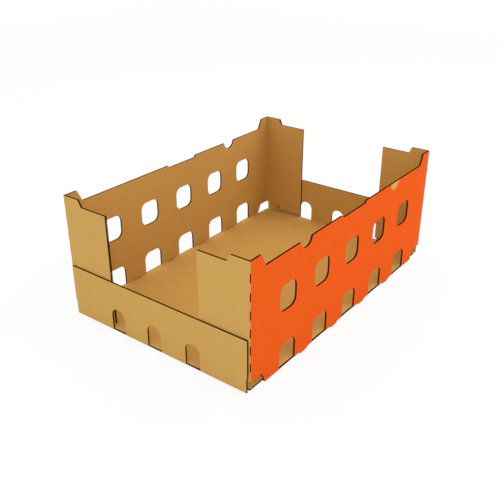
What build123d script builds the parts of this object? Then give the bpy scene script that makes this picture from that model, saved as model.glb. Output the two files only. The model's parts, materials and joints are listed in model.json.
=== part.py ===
from build123d import *
import os

# A stacking tray folded from one die-cut sheet of corrugated board and glued at its corners.
# X runs along the two long walls, Y along the two low end walls, and Z is up.
# The origin is under the middle of the tray, level with the tips of its feet.

# Overall sizes, in millimetres
length = 600.0
width = 400.0
board = 3.3

# Heights above the underside of the bottom
wall_height = 209.5
flap_height = 218.5
tab_height = 231.0
end_height = 97.5
flap_clear = 10.0

# Folds: the outer face bends round fold_radius, the inner face stays a tight crease
fold_radius = 1.0
crease_radius = 0.5

# Corner tabs that rise into the tray stacked above, measured from the outside of the tray.
# Their ends and the ends of the notches lean by the same run for each unit of height.
wall_tab = 30.5
flap_tab = 37.0
lean = 0.48
tab_round = 2.5
root_round = 1.5

# Notches that take the tabs of the tray below
notch_height = 21.5
wall_notch = 42.5
flap_notch = 47.0
slot_width = 5.5

# Glue flaps and the low end walls outside them
flap_length = 101.0
end_inset = 4.0
end_step_height = 28.5

# Vents in the long walls: round-cornered holes over arches, as many as fit between the margins
vent_pitch = 99.0
vent_margin = 90.0
vent_width = 45.5
vent_height = 47.5
vent_centre = 130.0
vent_round = 14.0
vent_arch_top = 46.0

# Arched vents in the low end walls, in the same way
end_vent_pitch = 85.5
end_vent_margin = 100.0
end_vent_width = 31.0
end_vent_top = 46.0

# Top edge of each long wall: a round notch on one side and a long shallow recess in the middle
thumb_place = 150.0
thumb_radius = 16.5
thumb_depth = 14.5
recess_length = 75.0
recess_depth = 4.5
recess_lean = 4.0

# Feet cut out of the bottom between the arches
foot_root = 34.0
foot_tip = 14.0
foot_drop = 3.0

# Slits along the four upright creases
slit_count = 6
slit_margin = 19.4
slit_width = 1.4

# Levels above the surface that the feet stand on
underside = foot_drop
floor_top = underside + board
crease_level = underside + board / 2
wall_top = underside + wall_height
flap_top = underside + flap_height
tab_top = underside + tab_height
notch_top = underside + notch_height

# Distances from the middle of the tray
wall_end = length / 2 - board
half_width = width / 2

# How many vents fit, with the middles of the outermost ones no nearer the ends than the margins
vent_count = int((length - 2 * vent_margin) / vent_pitch) + 1
end_vent_count = int((width - 2 * end_vent_margin) / end_vent_pitch) + 1

# Where the leaning ends of the tabs and notches start, measured like the tabs
wall_root = wall_tab + lean * (tab_height - wall_height)
flap_root = flap_tab + lean * (tab_height - flap_height)
wall_notch_top = wall_notch - lean * notch_height
flap_notch_top = flap_notch - lean * notch_height


def long_sides():
    """The outer faces of both long walls, each seen from outside the tray."""
    return [Plane((0, -s * half_width, 0), x_dir=(s, 0, 0), z_dir=(0, -s, 0)) for s in (1, -1)]


def end_sides(inset=0.0):
    """Planes across both ends of the tray, inset from its outer faces and seen from outside."""
    return [Plane((-s * (length / 2 - inset), 0, 0), x_dir=(0, -s, 0), z_dir=(-s, 0, 0)) for s in (1, -1)]


def on_lines(edges, x=None, y=None, z=None):
    """The edges whose middle lies on the given distances from the tray's centre planes."""
    places = [(axis, value) for axis, value in (("X", x), ("Y", y), ("Z", z)) if value is not None]
    return edges.filter_by(lambda e: all(abs(abs(getattr(e.center(), a)) - v) < 0.01 for a, v in places))


with BuildPart() as tray:
    # The bottom, with a cut at each corner that lets the tabs below through
    with BuildSketch(Plane.XY.offset(underside)):
        with BuildLine():
            Polyline(
                (0, 0),
                (0, -half_width),
                (wall_notch - length / 2, -half_width),
                (wall_notch - length / 2, slot_width - half_width),
                (-length / 2, slot_width - half_width),
                (-length / 2, 0),
                close=True,
            )
        make_face()
        mirror(about=Plane.YZ)
        mirror(about=Plane.XZ)
    extrude(amount=board)

    # The long walls with the tabs above and the notches below
    with BuildSketch(*long_sides()):
        with BuildLine():
            Polyline(
                (0, underside),
                (0, wall_top),
                (wall_root - length / 2, wall_top),
                (wall_tab - length / 2, tab_top),
                (-wall_end, tab_top),
                (-wall_end, notch_top),
                (wall_notch_top - length / 2, notch_top),
                (wall_notch - length / 2, underside),
                close=True,
            )
        make_face()
        mirror(about=Plane.YZ)
    extrude(amount=-board)

    # The glue flaps, turned in from the ends of the long walls
    with BuildSketch(*end_sides(board)):
        with BuildLine():
            Polyline(
                (-half_width, notch_top),
                (-half_width, tab_top),
                (flap_tab - half_width, tab_top),
                (flap_root - half_width, flap_top),
                (flap_length - half_width, flap_top),
                (flap_length - half_width, underside + flap_clear),
                (flap_notch - lean * flap_clear - half_width, underside + flap_clear),
                (flap_notch_top - half_width, notch_top),
                close=True,
            )
        make_face()
        mirror(about=Plane.YZ)
    extrude(amount=-board)

    # The low end walls, folded up outside the flaps
    with BuildSketch(*end_sides()):
        with BuildLine():
            Polyline(
                (0, underside),
                (0, underside + end_height),
                (end_inset - half_width, underside + end_height),
                (end_inset - half_width, underside + end_step_height),
                (slot_width - half_width, underside + end_step_height),
                (slot_width - half_width, underside),
                close=True,
            )
        make_face()
        mirror(about=Plane.YZ)
    extrude(amount=-board)

    # The folds, round outside and tight inside
    fillet(on_lines(tray.edges().filter_by(Axis.Z), x=wall_end, y=half_width), fold_radius)
    fillet(on_lines(tray.edges().filter_by(Axis.X), y=half_width, z=underside), fold_radius)
    fillet(on_lines(tray.edges().filter_by(Axis.Y), x=length / 2, z=underside), fold_radius)
    fillet(on_lines(tray.edges().filter_by(Axis.Z), x=wall_end - board, y=half_width - board), crease_radius)
    fillet(on_lines(tray.edges().filter_by(Axis.X), y=half_width - board, z=floor_top), crease_radius)
    fillet(on_lines(tray.edges().filter_by(Axis.Y), x=length / 2 - board, z=floor_top), crease_radius)

    # Tabs, eased at their tips and in their roots
    fillet(on_lines(tray.edges().filter_by(Axis.Y), x=length / 2 - wall_tab, z=tab_top), tab_round)
    fillet(on_lines(tray.edges().filter_by(Axis.Y), x=length / 2 - wall_root, z=wall_top), root_round)
    fillet(on_lines(tray.edges().filter_by(Axis.X), y=half_width - flap_tab, z=tab_top), tab_round)
    fillet(on_lines(tray.edges().filter_by(Axis.X), y=half_width - flap_root, z=flap_top), root_round)

    # Vents through the long walls: holes above, and arches that reach down to the bottom
    with BuildSketch(*long_sides()):
        with Locations((0, underside + vent_centre)):
            with GridLocations(vent_pitch, 0, vent_count, 1):
                RectangleRounded(vent_width, vent_height, vent_round)
    extrude(amount=-board, mode=Mode.SUBTRACT)
    with BuildSketch(*long_sides()):
        with Locations((0, floor_top)):
            with GridLocations(vent_pitch, 0, vent_count, 1):
                RectangleRounded(vent_width, 2 * (underside + vent_arch_top - floor_top), vent_round)
            Rectangle(length, wall_height, align=(Align.CENTER, Align.MIN), mode=Mode.INTERSECT)
    extrude(amount=-board, mode=Mode.SUBTRACT)

    # Arches through the low end walls, in the same way
    with BuildSketch(*end_sides()):
        with Locations((0, floor_top)):
            with GridLocations(end_vent_pitch, 0, end_vent_count, 1):
                SlotOverall(2 * (underside + end_vent_top - floor_top), end_vent_width, rotation=90)
            Rectangle(width, end_height, align=(Align.CENTER, Align.MIN), mode=Mode.INTERSECT)
    extrude(amount=-board, mode=Mode.SUBTRACT)

    # At the foot of each arch the cut takes away the crease inside and the bend outside
    for sides, pitch, count, opening in (
        (long_sides(), vent_pitch, vent_count, vent_width),
        (end_sides(), end_vent_pitch, end_vent_count, end_vent_width),
    ):
        for level, height, depth in (
            (floor_top, crease_radius, board + crease_radius),
            (underside, board, fold_radius),
        ):
            with BuildSketch(*sides):
                with Locations((0, level)):
                    with GridLocations(pitch, 0, count, 1):
                        Rectangle(opening, height, align=(Align.CENTER, Align.MIN))
            extrude(amount=-depth, mode=Mode.SUBTRACT)

    # The top edge of each long wall
    with BuildSketch(*long_sides()):
        with Locations((-thumb_place, wall_top + thumb_radius - thumb_depth)):
            Circle(thumb_radius)
        with BuildLine():
            Polyline(
                (-recess_length / 2 - recess_lean, wall_top),
                (-recess_length / 2, wall_top - recess_depth),
                (recess_length / 2, wall_top - recess_depth),
                (recess_length / 2 + recess_lean, wall_top),
                close=True,
            )
        make_face()
    extrude(amount=-board, mode=Mode.SUBTRACT)

    # Slots in the bottom: beside each corner for the tabs below, and where each foot was cut out
    with BuildSketch(Plane.XY.offset(underside)):
        with GridLocations(length - 2 * board - slot_width, width - flap_notch, 2, 2):
            Rectangle(slot_width, flap_notch)
    extrude(amount=board + crease_radius, mode=Mode.SUBTRACT)
    with BuildSketch(Plane.XY.offset(underside)):
        with Locations((0, -half_width)):
            with GridLocations(vent_pitch, 0, vent_count - 1, 1):
                Polygon(
                    (-foot_root / 2, board / 2),
                    (foot_root / 2, board / 2),
                    (foot_tip / 2, foot_drop + board),
                    (-foot_tip / 2, foot_drop + board),
                    align=None,
                )
            Rectangle(length, board, align=(Align.CENTER, Align.MIN), mode=Mode.SUBTRACT)
        mirror(about=Plane.XZ)
    extrude(amount=board + crease_radius, mode=Mode.SUBTRACT)

    # The feet, flat with the long walls
    with BuildSketch(*long_sides()):
        with GridLocations(vent_pitch, 0, vent_count - 1, 1):
            Polygon(
                (-foot_root / 2, floor_top),
                (-foot_root / 2, crease_level),
                (-foot_tip / 2, 0),
                (foot_tip / 2, 0),
                (foot_root / 2, crease_level),
                (foot_root / 2, floor_top),
                align=None,
            )
    extrude(amount=-board)

    # Slits along the upright creases, open outside and closing to the inner face
    slit_length = (tab_top - notch_top - 2 * slit_margin) / (2 * slit_count - 1)
    slit_levels = [notch_top + slit_margin + 2 * slit_length * k for k in range(slit_count)]
    with BuildSketch(*[Plane.XY.offset(level) for level in slit_levels]):
        with Locations((board - wall_end, board - half_width)):
            Polygon(
                (0, 0),
                (2 * board, slit_width),
                (2 * board, -slit_width),
                rotation=-135,
                align=None,
            )
        mirror(about=Plane.YZ)
        mirror(about=Plane.XZ)
    extrude(amount=slit_length, mode=Mode.SUBTRACT)

os.makedirs("parts", exist_ok=True)
tray.part.label = "tray"
export_step(tray.part, "parts/tray.step")
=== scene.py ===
"""The looks of a stacking tray of corrugated board: its liners, its print, its fluting and a plain studio.

Sizes are in metres. The tray stands in the frame's own place: X along its long walls, Y along its
low end walls, Z up from the tips of its feet.
"""

import json
import math

import bmesh
import bpy
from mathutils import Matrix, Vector


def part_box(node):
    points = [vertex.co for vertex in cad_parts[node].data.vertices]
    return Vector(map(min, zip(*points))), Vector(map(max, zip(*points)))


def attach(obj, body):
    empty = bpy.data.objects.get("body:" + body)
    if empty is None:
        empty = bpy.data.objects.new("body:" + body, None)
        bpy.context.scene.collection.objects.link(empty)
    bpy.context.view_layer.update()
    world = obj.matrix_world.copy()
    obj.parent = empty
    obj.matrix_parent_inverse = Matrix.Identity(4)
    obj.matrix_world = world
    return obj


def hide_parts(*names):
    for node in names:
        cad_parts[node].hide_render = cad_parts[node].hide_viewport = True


bl_info = {
    "name": "Corrugated board tray",
    "version": (1, 0, 0),
    "blender": (4, 5, 0),
    "location": "3D View > Sidebar > Tray",
    "description": "Gives a folded tray its board, fluting and print, and sets a studio around it",
    "category": "Object",
}

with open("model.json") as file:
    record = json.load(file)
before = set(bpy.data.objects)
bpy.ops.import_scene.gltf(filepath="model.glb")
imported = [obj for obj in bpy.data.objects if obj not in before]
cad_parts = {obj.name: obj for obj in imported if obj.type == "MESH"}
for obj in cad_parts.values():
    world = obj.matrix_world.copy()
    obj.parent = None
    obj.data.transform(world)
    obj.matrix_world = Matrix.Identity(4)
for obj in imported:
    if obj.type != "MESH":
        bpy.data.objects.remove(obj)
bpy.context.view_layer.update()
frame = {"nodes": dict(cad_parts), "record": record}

MM = 0.001
X, Y, Z = range(3)

# The order of the board's material slots; the inside liner's slot holds a darker, redder kraft as painted
# shade
# The cut and core slots are painted far darker than brown paper, as shade in the open flutes and slits
KRAFT, INNER_PAINTED_SHADE, PRINTED, CUT_PAINTED_SHADE, CORE_PAINTED_SHADE = range(5)

# How close two levels have to be to count as one, how small a normal's part to count as none,
# and how much of an edge has to run along an axis
NEAR = 0.02 * MM
FLAT = 0.02
STRAIGHT = 0.99

# How close two corners of the CAD mesh have to be to count as one, and how little a flat face may bend
SAME_CORNER = NEAR / 4
FLAT_ANGLE = math.radians(0.2)

# How far the sides of a recess lean in on their way down
RECESS_LEAN = NEAR / 2

# How far the map of the inside lies from the map of the outside, so that their grain differs
INSIDE_SHIFT = 1

# Straight pieces in one wave of the fluted paper
WAVE_STEPS = 8

# Sizes of the liner's cloudy patches, of its fibres across their run, and of the fray at a cut.
# A fibre is about 0.03 mm wide and the fray 0.2 mm, too fine to show, so both are drawn coarser.
CLOUD = 25 * MM
FIBRE = 1.6 * MM
FRAY = 2 * MM

# How many times longer than wide the fibres are drawn, and how much light the frayed ones keep
FIBRE_STRETCH = 4
FRAY_TONE = 0.7

# What a flute adds to the tone of the liner, and the sums of all grain that give its two tones
FLUTE_SHARE = 0.15
GRAIN_LOW = 0.7
GRAIN_HIGH = 1.45

# How far the liner's surface rises over a flute, the share of it that the fibres add, and how far
# the roughness swings about its middle
RIPPLE = 0.1 * MM
FIBRE_SHARE = 0.4
ROUGHNESS_SWING = 0.04

# The Wave node's own factor on its scale, and the Mix node's sockets when it mixes colours
WAVE_NODE_FACTOR = 20
COLOUR_A = 6
COLOUR_B = 7
COLOUR_OUT = 2

# White paint of the floor, as bright as paint gets
FLOOR_PAINT = "#F2F2F2"


def linear(hex_colour):
    """An sRGB hex colour as linear red, green and blue with full alpha."""
    parts = [int(hex_colour[i : i + 2], 16) / 255 for i in (1, 3, 5)]
    return (*[c / 12.92 if c <= 0.04045 else ((c + 0.055) / 1.055) ** 2.4 for c in parts], 1.0)


def add_node(tree, kind, inputs=None, **settings):
    """Adds a node, sets its properties, and fills its inputs with values or with links from sockets."""
    node = tree.nodes.new(kind)
    for name, value in settings.items():
        setattr(node, name, value)
    for name, value in (inputs or {}).items():
        if isinstance(value, bpy.types.NodeSocket):
            tree.links.new(value, node.inputs[name])
        else:
            node.inputs[name].default_value = value
    return node


def new_material(name, specular):
    """A material with one Principled shader; returns the material, its tree and the shader."""
    material = bpy.data.materials.new(name)
    material.use_nodes = True
    tree = material.node_tree
    tree.nodes.clear()
    shader = add_node(tree, "ShaderNodeBsdfPrincipled", {"Specular IOR Level": specular})
    add_node(tree, "ShaderNodeOutputMaterial", {"Surface": shader.outputs[0]})
    return material, tree, shader


def seen_rays(tree):
    """1 for what the camera, gloss or glass sees, and 0 for the light that falls on the tray."""
    path = add_node(tree, "ShaderNodeLightPath")
    seen = path.outputs["Is Camera Ray"]
    for other in ("Is Glossy Ray", "Is Transmission Ray"):
        joined = add_node(tree, "ShaderNodeMath", {0: seen, 1: path.outputs[other]}, operation="MAXIMUM")
        seen = joined.outputs[0]
    return seen


def mount_level(name):
    """The height of one of the tray's own mounting faces."""
    return next(mount["pos_m"][Z] for mount in frame["record"]["mounts"] if mount["name"] == name)


def place_mesh(name, bm):
    """A new object in the scene that holds the finished bmesh."""
    mesh = bpy.data.meshes.new(name)
    bm.to_mesh(mesh)
    bm.free()
    piece = bpy.data.objects.new(name, mesh)
    bpy.context.scene.collection.objects.link(piece)
    return piece


class TRAY_PG_board(bpy.types.PropertyGroup):
    """Sizes and colours of the board and its print."""

    thickness: bpy.props.FloatProperty(
        name="Board", description="Thickness of the board", default=3.3 * MM, unit="LENGTH"
    )
    liner: bpy.props.FloatProperty(
        name="Liner", description="Thickness of one liner", default=0.3 * MM, unit="LENGTH"
    )
    recess: bpy.props.FloatProperty(
        name="Recess",
        description="How far a cut edge lies open between its liners",
        default=1.2 * MM,
        unit="LENGTH",
    )
    flute_pitch: bpy.props.FloatProperty(
        name="Flute pitch", description="From one flute to the next", default=6.5 * MM, unit="LENGTH"
    )
    fluting: bpy.props.FloatProperty(
        name="Fluting", description="Thickness of the fluted paper", default=0.25 * MM, unit="LENGTH"
    )
    print_end: bpy.props.FloatProperty(
        name="Print end",
        description="From the outside of the low end walls to the end of the print",
        default=3.8 * MM,
        unit="LENGTH",
    )
    wall_top: bpy.props.FloatProperty(
        name="Wall top",
        description="Top of the long walls above their fold",
        default=209.5 * MM,
        unit="LENGTH",
    )
    patch_place: bpy.props.FloatProperty(
        name="Patch place",
        description="From the middle of a long wall to its unprinted patch",
        default=150 * MM,
        unit="LENGTH",
    )
    patch_radius: bpy.props.FloatProperty(
        name="Patch radius", description="Radius of the patch", default=16.5 * MM, unit="LENGTH"
    )
    patch_depth: bpy.props.FloatProperty(
        name="Patch depth", description="How far the patch reaches down", default=14.5 * MM, unit="LENGTH"
    )
    kraft: bpy.props.FloatVectorProperty(
        name="Kraft",
        description="Colour of the liner",
        subtype="COLOR",
        size=4,
        default=linear("#CCA25A"),
    )
    kraft_shade: bpy.props.FloatVectorProperty(
        name="Kraft shade",
        description="Colour of the liner's denser fibres",
        subtype="COLOR",
        size=4,
        default=linear("#C69C54"),
    )
    # The inside liner's two tones are the kraft made darker and redder: painted shade for the inside of the
    # tray
    inner: bpy.props.FloatVectorProperty(
        name="Inner liner",
        description="Colour of the inside liner",
        subtype="COLOR",
        size=4,
        default=linear("#C79851"),
    )
    inner_fibres_with_painted_shade: bpy.props.FloatVectorProperty(
        name="Inner liner shade",
        description="Colour of the inside liner's denser fibres",
        subtype="COLOR",
        size=4,
        default=linear("#C1924B"),
    )
    ink: bpy.props.FloatVectorProperty(
        name="Ink",
        description="Colour of the print",
        subtype="COLOR",
        size=4,
        default=linear("#E65C18"),
    )
    ink_shade: bpy.props.FloatVectorProperty(
        name="Ink shade",
        description="Colour of the print where it sinks in",
        subtype="COLOR",
        size=4,
        default=linear("#E05714"),
    )
    # The cut and core colours are far darker than the paper itself: painted shade for the open flutes and
    # slits
    cut: bpy.props.FloatVectorProperty(
        name="Cut",
        description="Colour of a liner's cut edge",
        subtype="COLOR",
        size=4,
        default=linear("#542804"),
    )
    core: bpy.props.FloatVectorProperty(
        name="Core",
        description="Colour of the fluted paper",
        subtype="COLOR",
        size=4,
        default=linear("#401D02"),
    )


class TRAY_PG_studio(bpy.types.PropertyGroup):
    """The floor, the light and the camera."""

    daylight: bpy.props.FloatProperty(
        name="Daylight", description="Strength of the even light from all round", default=0.99
    )
    box_power: bpy.props.FloatProperty(
        name="Soft box", description="Power of the wide soft box over the tray", default=7.0, unit="POWER"
    )
    box_side: bpy.props.FloatProperty(
        name="Soft box side", description="Side of the soft box", default=2.4, unit="LENGTH"
    )
    box_place: bpy.props.FloatVectorProperty(
        name="Soft box place",
        description="Where the soft box hangs",
        subtype="XYZ",
        unit="LENGTH",
        default=(0.0, 0.0, 1.5),
    )
    lamp_power: bpy.props.FloatProperty(
        name="Lamp",
        description="Power of the soft lamp that faces the far walls",
        default=8.5,
        unit="POWER",
    )
    lamp_side: bpy.props.FloatProperty(
        name="Lamp side", description="Side of the soft lamp", default=1.6, unit="LENGTH"
    )
    lamp_place: bpy.props.FloatVectorProperty(
        name="Lamp place",
        description="Where the soft lamp hangs",
        subtype="XYZ",
        unit="LENGTH",
        default=(1.4, -1.1, 1.3),
    )
    floor_side: bpy.props.FloatProperty(
        name="Floor", description="Side of the floor", default=6.0, unit="LENGTH"
    )
    shadow: bpy.props.FloatProperty(
        name="Shadow",
        description="Share of the tray's shadow that the floor shows",
        default=0.12,
        subtype="FACTOR",
    )
    camera_place: bpy.props.FloatVectorProperty(
        name="Camera",
        description="Where the camera stands",
        subtype="XYZ",
        unit="LENGTH",
        default=(-0.9772, -0.7148, 0.6886),
    )
    camera_turn: bpy.props.FloatVectorProperty(
        name="Camera turn",
        description="The camera's tilt from straight down, its roll and its turn",
        subtype="EULER",
        default=(math.radians(62.937), 0.0, math.radians(-52.847)),
    )
    lens: bpy.props.FloatProperty(
        name="Lens", description="Focal length in millimetres", default=50.0, unit="CAMERA"
    )


class Shape:
    """Where the tray's panels lie, read from its frame and the board's thickness."""

    def __init__(self, board):
        self.board = board.thickness
        self.half_length, self.half_width, self.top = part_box("tray")[1]
        self.underside = mount_level("underside")
        self.floor_top = self.underside + self.board

    def depths(self, place):
        """How far a place lies in from the low end walls, the long walls and the underside."""
        return self.half_length - abs(place.x), self.half_width - abs(place.y), place.z - self.underside

    def panel(self, face):
        """The panel whose liner the face is, or None for a face that is cut through the board."""
        place = face.calc_center_median()
        facing = face.normal
        in_x, in_y, in_z = self.depths(place)
        outward = facing.x * place.x > 0
        facing_axes = [axis for axis in (X, Y, Z) if abs(facing[axis]) > FLAT]
        if facing_axes == [Y] and min(in_y, abs(in_y - self.board)) < NEAR:
            return "wall"
        if facing_axes == [X] and place.z > self.floor_top:
            if in_x < NEAR or (abs(in_x - self.board) < NEAR and not outward):
                return "end"
            if min(abs(in_x - self.board), abs(in_x - 2 * self.board)) < NEAR:
                return "flap"
        if facing_axes == [Z] and min(abs(in_z), abs(in_z - self.board)) < NEAR:
            return "bottom"
        # The folds' bends face two ways at once, and are shared between the panels that they join
        if facing_axes == [X, Y] and self.near_corner(place) and (facing.y * place.y > 0) == outward:
            return "wall" if abs(facing.y) > abs(facing.x) else "flap"
        if facing_axes == [Y, Z] and max(in_y, in_z) < 2 * self.board:
            return "wall" if abs(facing.y) > abs(facing.z) else "bottom"
        if facing_axes == [X, Z] and max(in_x, in_z) < 2 * self.board:
            return "end" if abs(facing.x) > abs(facing.z) else "bottom"
        return None

    def near_corner(self, place):
        """Whether a place lies in one of the four upright folds, which are behind the low end walls."""
        in_x, in_y, _ = self.depths(place)
        return self.board < in_x < 3 * self.board and in_y < 2 * self.board

    def in_slit(self, face):
        """Whether a cut face is a wall of one of the slits along an upright fold."""
        return self.near_corner(face.calc_center_median()) and abs(face.normal.z) < FLAT

    def is_cut(self, face):
        """Whether a face is cut through the whole board, with its fluting open to view."""
        return self.panel(face) is None and not self.in_slit(face)

    def layer(self, place):
        """The axis through the board and the axis across its flutes, at a place in it."""
        in_x, in_y, _ = self.depths(place)
        if in_y < self.board:
            return Y, X
        if self.board < in_x < 2 * self.board:
            return X, Y
        if in_x < self.board:
            return X, Z
        return Z, X

    def keep_between_liners(self, place, liner):
        """Moves a place at a cut edge, by as little as it takes, between the liners of a panel."""
        core = (liner, self.board - liner)
        flap_core = (self.board + liner, 2 * self.board - liner)
        free = (liner, self.half_length)
        long_wall = ((flap_core[0], self.half_length), core, (-self.underside, self.top))
        panels = (long_wall, (free, free, core), (core, free, free), (flap_core, free, free))
        depths = Vector(self.depths(place))
        moved = [
            Vector([max(low, min(high, depth)) for depth, (low, high) in zip(depths, panel)])
            for panel in panels
        ]
        nearest = min(moved, key=lambda candidate: (candidate - depths).length)
        place.x = math.copysign(self.half_length - nearest.x, place.x)
        place.y = math.copysign(self.half_width - nearest.y, place.y)
        place.z = self.underside + nearest.z

    def unfolded(self, place, panel, outside):
        """Where a place lies on the map of the flat blank: across the flutes and along them."""
        along_x = math.copysign(1, place.x)
        along_y = math.copysign(1, place.y)
        across, along = place.x, place.y
        if panel in ("wall", "flap"):
            along = along_y * (self.half_width + place.z)
        if panel == "flap":
            across = along_x * (self.half_length + self.half_width - abs(place.y))
        if panel == "end":
            across = along_x * (self.half_length + place.z)
        return across, along + (0 if outside else INSIDE_SHIFT)

    def is_outside(self, face):
        """Whether a face looks away from the inside of the tray."""
        place = face.calc_center_median()
        return face.normal.dot(Vector((place.x, place.y, place.z - self.top))) > 0


def runs_along(edge, axis):
    """Whether an edge runs along an axis."""
    run = edge.verts[0].co - edge.verts[1].co
    return abs(run[axis]) > STRAIGHT * run.length


def joined_cad():
    """The tray's own mesh with its triangles merged into whole flat faces."""
    bm = bmesh.new()
    bm.from_mesh(frame["nodes"]["tray"].data)
    bmesh.ops.remove_doubles(bm, verts=bm.verts, dist=SAME_CORNER)
    bmesh.ops.dissolve_limit(bm, angle_limit=FLAT_ANGLE, verts=bm.verts, edges=bm.edges)
    bm.normal_update()
    return bm


def paper_grain(tree, pitch):
    """Grain of the liner on the blank's map: from 0 to 1 for its tone, and a height for its bump."""
    place = add_node(tree, "ShaderNodeUVMap", uv_map="blank").outputs["UV"]
    clouds = add_node(
        tree, "ShaderNodeTexNoise", {"Vector": place, "Scale": 1 / CLOUD, "Detail": 4.0, "Roughness": 0.6}
    )
    stretched = add_node(
        tree, "ShaderNodeMapping", {"Vector": place, "Scale": (1 / FIBRE_STRETCH, 1.0, 1.0)}
    )
    fibres = add_node(
        tree,
        "ShaderNodeTexNoise",
        {"Vector": stretched.outputs[0], "Scale": 1 / FIBRE, "Detail": 3.0, "Roughness": 0.7},
    )
    wave_scale = math.tau / (WAVE_NODE_FACTOR * pitch)
    waves = add_node(tree, "ShaderNodeTexWave", {"Vector": place, "Scale": wave_scale}, bands_direction="X")
    mixed = add_node(tree, "ShaderNodeMath", {0: clouds.outputs[0], 1: fibres.outputs[0]}, operation="ADD")
    grain = add_node(
        tree,
        "ShaderNodeMath",
        {0: waves.outputs["Fac"], 1: FLUTE_SHARE, 2: mixed.outputs[0]},
        operation="MULTIPLY_ADD",
    )
    amount = add_node(
        tree,
        "ShaderNodeMapRange",
        {"Value": grain.outputs[0], "From Min": GRAIN_LOW, "From Max": GRAIN_HIGH},
    )
    height = add_node(
        tree,
        "ShaderNodeMath",
        {0: fibres.outputs[0], 1: FIBRE_SHARE, 2: waves.outputs["Fac"]},
        operation="MULTIPLY_ADD",
    )
    return amount.outputs[0], height.outputs[0]


def two_tones(tree, amount, light, dark):
    """A colour between two tones of one finish."""
    mix = add_node(tree, "ShaderNodeMix", {0: amount, COLOUR_A: light, COLOUR_B: dark}, data_type="RGBA")
    return mix.outputs[COLOUR_OUT]


def add_relief(tree, shader, amount, height, roughness, strength):
    """Roughness that follows a paper's grain a little, and bump from its height."""
    smooth, rough = roughness - ROUGHNESS_SWING, roughness + ROUGHNESS_SWING
    swung = add_node(tree, "ShaderNodeMapRange", {"Value": amount, "To Min": smooth, "To Max": rough})
    tree.links.new(swung.outputs[0], shader.inputs["Roughness"])
    bump = add_node(tree, "ShaderNodeBump", {"Height": height, "Strength": strength, "Distance": RIPPLE})
    tree.links.new(bump.outputs[0], shader.inputs["Normal"])


def kraft_liner(name, board, colour, shade):
    """Unbleached kraft liner, pressed and dried on a paper machine and left uncoated.

    It is matt, with cloudy fibre and a faint ripple over each flute. The liner inside the tray is painted
    a little darker and redder than the one outside, as painted shade for the inside of the tray.
    """
    material, tree, shader = new_material(name, specular=0.04)
    amount, height = paper_grain(tree, board.flute_pitch)
    tree.links.new(two_tones(tree, amount, colour, shade), shader.inputs["Base Color"])
    add_relief(tree, shader, amount, height, roughness=0.9, strength=0.15)
    return material


def printed_liner(board, shape):
    """Kraft liner with one solid colour of water-based flexographic ink, rolled on before the die-cut.

    It is a little smoother than the bare liner, and the flutes still show through. A round patch and
    a narrow strip at each end stay bare.
    """
    material, tree, shader = new_material("printed_liner", specular=0.04)
    amount, height = paper_grain(tree, board.flute_pitch)
    place = add_node(tree, "ShaderNodeTexCoord").outputs["Object"]
    split = add_node(tree, "ShaderNodeSeparateXYZ", {0: place})
    side = add_node(tree, "ShaderNodeMath", {0: split.outputs["Y"]}, operation="SIGN")
    from_patch = add_node(
        tree,
        "ShaderNodeMath",
        {0: side.outputs[0], 1: board.patch_place, 2: split.outputs["X"]},
        operation="MULTIPLY_ADD",
    )
    centre = shape.underside + board.wall_top + board.patch_radius - board.patch_depth
    rise = add_node(tree, "ShaderNodeMath", {0: split.outputs["Z"], 1: centre}, operation="SUBTRACT")
    offset = add_node(tree, "ShaderNodeCombineXYZ", {"X": from_patch.outputs[0], "Z": rise.outputs[0]})
    reach = add_node(tree, "ShaderNodeVectorMath", {0: offset.outputs[0]}, operation="LENGTH")
    off_patch = add_node(
        tree, "ShaderNodeMath", {0: reach.outputs["Value"], 1: board.patch_radius}, operation="GREATER_THAN"
    )
    run = add_node(tree, "ShaderNodeMath", {0: split.outputs["X"]}, operation="ABSOLUTE")
    print_stop = shape.half_length - board.print_end
    before_end = add_node(tree, "ShaderNodeMath", {0: run.outputs[0], 1: print_stop}, operation="LESS_THAN")
    inked = add_node(
        tree, "ShaderNodeMath", {0: off_patch.outputs[0], 1: before_end.outputs[0]}, operation="MULTIPLY"
    )
    paper = two_tones(tree, amount, board.kraft, board.kraft_shade)
    ink = two_tones(tree, amount, board.ink, board.ink_shade)
    tree.links.new(two_tones(tree, inked.outputs[0], paper, ink), shader.inputs["Base Color"])
    add_relief(tree, shader, amount, height, roughness=0.85, strength=0.12)
    return material


def cut_paper(name, colour):
    """Brown paper cut by a steel rule die, or seen inside a flute: dull and frayed, painted dark as shade.
    """
    material, tree, shader = new_material(name, specular=0.0)
    place = add_node(tree, "ShaderNodeTexCoord").outputs["Object"]
    fray = add_node(
        tree, "ShaderNodeTexNoise", {"Vector": place, "Scale": 1 / FRAY, "Detail": 2.0, "Roughness": 0.6}
    )
    darker = [FRAY_TONE * part for part in colour[:3]] + [1.0]
    tree.links.new(two_tones(tree, fray.outputs[0], colour, darker), shader.inputs["Base Color"])
    add_relief(tree, shader, fray.outputs[0], fray.outputs[0], roughness=0.95, strength=0.4)
    return material


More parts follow.
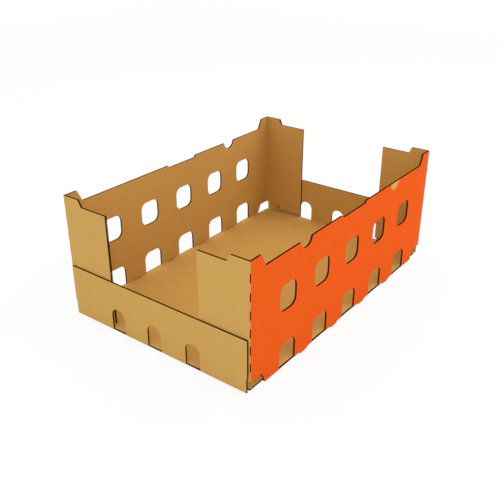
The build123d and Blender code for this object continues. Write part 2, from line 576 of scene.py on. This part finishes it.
class TRAY_OT_board(bpy.types.Operator):
    """Make the folded board, with its liners standing proud of the core at every cut edge"""

    bl_idname = "tray.board"
    bl_label = "Board"

    def execute(self, context):
        board = context.scene.tray_board
        shape = Shape(board)
        bm = joined_cad()
        blank = bm.loops.layers.uv.new("blank")
        cut_faces = []
        for face in bm.faces:
            panel = shape.panel(face)
            outside = shape.is_outside(face)
            if panel is None:
                # Cut faces and slit walls get the dark cut colour, painted shade for the flutes and slits
                face.material_index = CUT_PAINTED_SHADE
                if not shape.in_slit(face):
                    cut_faces.append(face)
            elif outside:
                face.material_index = PRINTED if panel == "wall" else KRAFT
            else:
                # Faces inside the tray get the kraft that is painted darker and redder as shade
                face.material_index = INNER_PAINTED_SHADE
            for loop in face.loops:
                loop[blank].uv = shape.unfolded(loop.vert.co, panel, outside)
        # The first inset sets off the liners' edges, and the second sinks the core between them
        for thickness, depth in ((board.liner, 0), (RECESS_LEAN, -board.recess)):
            sides = bmesh.ops.inset_region(
                bm,
                faces=cut_faces,
                thickness=thickness,
                depth=depth,
                use_even_offset=False,
                use_boundary=True,
            )
            # Where a cut narrows to a point beside a fold, an inset would reach through a liner
            for vert in {vert for face in cut_faces for vert in face.verts}:
                shape.keep_between_liners(vert.co, board.liner)
        # The sunk core gets the darkest colour, painted shade inside the flutes
        for face in cut_faces + sides["faces"]:
            face.material_index = CORE_PAINTED_SHADE
        piece = place_mesh("board", bm)
        for material in (
            kraft_liner("kraft_liner", board, board.kraft, board.kraft_shade),
            # The inside liner: the kraft painted darker and redder, as shade for the inside of the tray
            kraft_liner("inner_liner", board, board.inner, board.inner_fibres_with_painted_shade),
            printed_liner(board, shape),
            cut_paper("cut_liner", board.cut),
            cut_paper("fluted_paper", board.core),
        ):
            piece.data.materials.append(material)
        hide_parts("tray")
        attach(piece, "root")
        return {"FINISHED"}


def with_borders(faces):
    """Some faces with their edges and corners, each one once and in the same order each run."""
    edges = dict.fromkeys(edge for face in faces for edge in face.edges)
    verts = dict.fromkeys(vert for face in faces for vert in face.verts)
    return [*faces, *edges, *verts]


def cut_strips(shape):
    """Every cut through the board as straight strips: ends of the middle line, facing and layer."""
    bm = joined_cad()
    for axis, place in ((X, shape.half_length - 2 * shape.board), (Y, shape.half_width - shape.board)):
        across = Vector()
        across[axis] = 1
        for side in (1, -1):
            cuts = with_borders([face for face in bm.faces if shape.is_cut(face)])
            bmesh.ops.bisect_plane(bm, geom=cuts, plane_co=side * place * across, plane_no=across)
    for face in bm.faces:
        if not shape.is_cut(face):
            continue
        layer = shape.layer(face.calc_center_median())
        ends = [edge for edge in face.edges if runs_along(edge, layer[0])]
        if len(ends) == 2:
            start, stop = ((edge.verts[0].co + edge.verts[1].co) / 2 for edge in ends)
            yield start, stop, face.normal.copy(), layer
    bm.free()


class TRAY_OT_fluting(bpy.types.Operator):
    """Lay the fluted paper between the liners, as far as the cut edges show it"""

    bl_idname = "tray.fluting"
    bl_label = "Fluting"

    def execute(self, context):
        board = context.scene.tray_board
        shape = Shape(board)
        swing = board.thickness / 2 - board.liner - board.fluting / 2
        bm = bmesh.new()
        for start, stop, facing, (through, across) in cut_strips(shape):
            steps = math.ceil(WAVE_STEPS * abs(stop[across] - start[across]) / board.flute_pitch)
            line = bm.edges.new((bm.verts.new(start), bm.verts.new(stop)))
            wave = [line]
            if steps > 1:
                wave = bmesh.ops.subdivide_edges(bm, edges=wave, cuts=steps - 1)["geom_split"]
            cuts = [item for item in wave if isinstance(item, bmesh.types.BMVert)]
            verts = dict.fromkeys([*line.verts, *cuts])
            for vert in verts:
                vert.co[through] += swing * math.sin(math.tau * vert.co[across] / board.flute_pitch)
            edges = dict.fromkeys(edge for vert in verts for edge in vert.link_edges)
            sunk = bmesh.ops.extrude_edge_only(bm, edges=list(edges))["geom"]
            sunk = [item for item in sunk if isinstance(item, bmesh.types.BMVert)]
            bmesh.ops.translate(bm, vec=-board.recess * facing, verts=sunk)
        bmesh.ops.recalc_face_normals(bm, faces=bm.faces)
        bmesh.ops.solidify(bm, geom=bm.faces, thickness=board.fluting)
        piece = place_mesh("fluting", bm)
        # The fluting's dark colour is painted shade inside the flutes
        piece.data.materials.append(bpy.data.materials["fluted_paper"])
        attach(piece, "root")
        return {"FINISHED"}


class TRAY_OT_studio(bpy.types.Operator):
    """Set the white floor, the even light and the camera"""

    bl_idname = "tray.studio"
    bl_label = "Studio"

    def execute(self, context):
        studio = context.scene.tray_studio
        self.light(context.scene, studio)
        self.floor(studio)
        self.camera(context.scene, studio)
        context.scene.view_settings.view_transform = "Standard"
        return {"FINISHED"}

    def light(self, scene, studio):
        """Even light from all round with two soft lamps, and plain white wherever the world is seen."""
        world = bpy.data.worlds.new("studio_light")
        world.use_nodes = True
        tree = world.node_tree
        tree.nodes.clear()
        strength = add_node(
            tree, "ShaderNodeMapRange", {"Value": seen_rays(tree), "To Min": studio.daylight}
        )
        light = add_node(
            tree, "ShaderNodeBackground", {"Color": (1, 1, 1, 1), "Strength": strength.outputs[0]}
        )
        add_node(tree, "ShaderNodeOutputWorld", {"Surface": light.outputs[0]})
        scene.world = world
        for name, power, side, place in (
            ("soft_box", studio.box_power, studio.box_side, studio.box_place),
            ("soft_lamp", studio.lamp_power, studio.lamp_side, studio.lamp_place),
        ):
            data = bpy.data.lights.new(name, "AREA")
            data.energy = power
            data.size = side
            lamp = bpy.data.objects.new(name, data)
            lamp.location = place
            lamp.rotation_euler = (-lamp.location).to_track_quat("-Z", "Y").to_euler()
            scene.collection.objects.link(lamp)

    def floor(self, studio):
        """A matt white floor, which the camera sees as white with a light shadow on it."""
        bm = bmesh.new()
        bmesh.ops.create_grid(bm, x_segments=1, y_segments=1, size=studio.floor_side / 2)
        piece = place_mesh("floor", bm)
        material = bpy.data.materials.new("white_floor")
        material.use_nodes = True
        tree = material.node_tree
        tree.nodes.clear()
        paint = add_node(tree, "ShaderNodeBsdfDiffuse", {"Color": linear(FLOOR_PAINT)})
        white = add_node(tree, "ShaderNodeEmission", {"Color": (1, 1, 1, 1), "Strength": 1.0})
        share = add_node(
            tree, "ShaderNodeMath", {0: seen_rays(tree), 1: 1 - studio.shadow}, operation="MULTIPLY"
        )
        mixed = add_node(
            tree, "ShaderNodeMixShader", {0: share.outputs[0], 1: paint.outputs[0], 2: white.outputs[0]}
        )
        add_node(tree, "ShaderNodeOutputMaterial", {"Surface": mixed.outputs[0]})
        piece.data.materials.append(material)

    def camera(self, scene, studio):
        """The camera, which looks down over the tray's near corner."""
        data = bpy.data.cameras.new("camera")
        data.lens = studio.lens
        camera = bpy.data.objects.new("camera", data)
        camera.location = studio.camera_place
        camera.rotation_euler = studio.camera_turn
        scene.collection.objects.link(camera)
        scene.camera = camera


class TRAY_PT_panel(bpy.types.Panel):
    """The tray's pieces and settings"""

    bl_idname = "TRAY_PT_panel"
    bl_label = "Tray"
    bl_space_type = "VIEW_3D"
    bl_region_type = "UI"
    bl_category = "Tray"

    def draw(self, context):
        for operator in OPERATORS:
            self.layout.operator(operator.bl_idname)
        for group in (context.scene.tray_board, context.scene.tray_studio):
            box = self.layout.box()
            for name in group.__annotations__:
                box.prop(group, name)


OPERATORS = (TRAY_OT_board, TRAY_OT_fluting, TRAY_OT_studio)
CLASSES = (TRAY_PG_board, TRAY_PG_studio, *OPERATORS, TRAY_PT_panel)


def register():
    for kind in CLASSES:
        bpy.utils.register_class(kind)
    bpy.types.Scene.tray_board = bpy.props.PointerProperty(type=TRAY_PG_board)
    bpy.types.Scene.tray_studio = bpy.props.PointerProperty(type=TRAY_PG_studio)


def unregister():
    del bpy.types.Scene.tray_studio
    del bpy.types.Scene.tray_board
    for kind in reversed(CLASSES):
        bpy.utils.unregister_class(kind)


def main():
    register()
    bpy.ops.tray.board()
    bpy.ops.tray.fluting()
    bpy.ops.tray.studio()


if __name__ == "__main__":
    main()
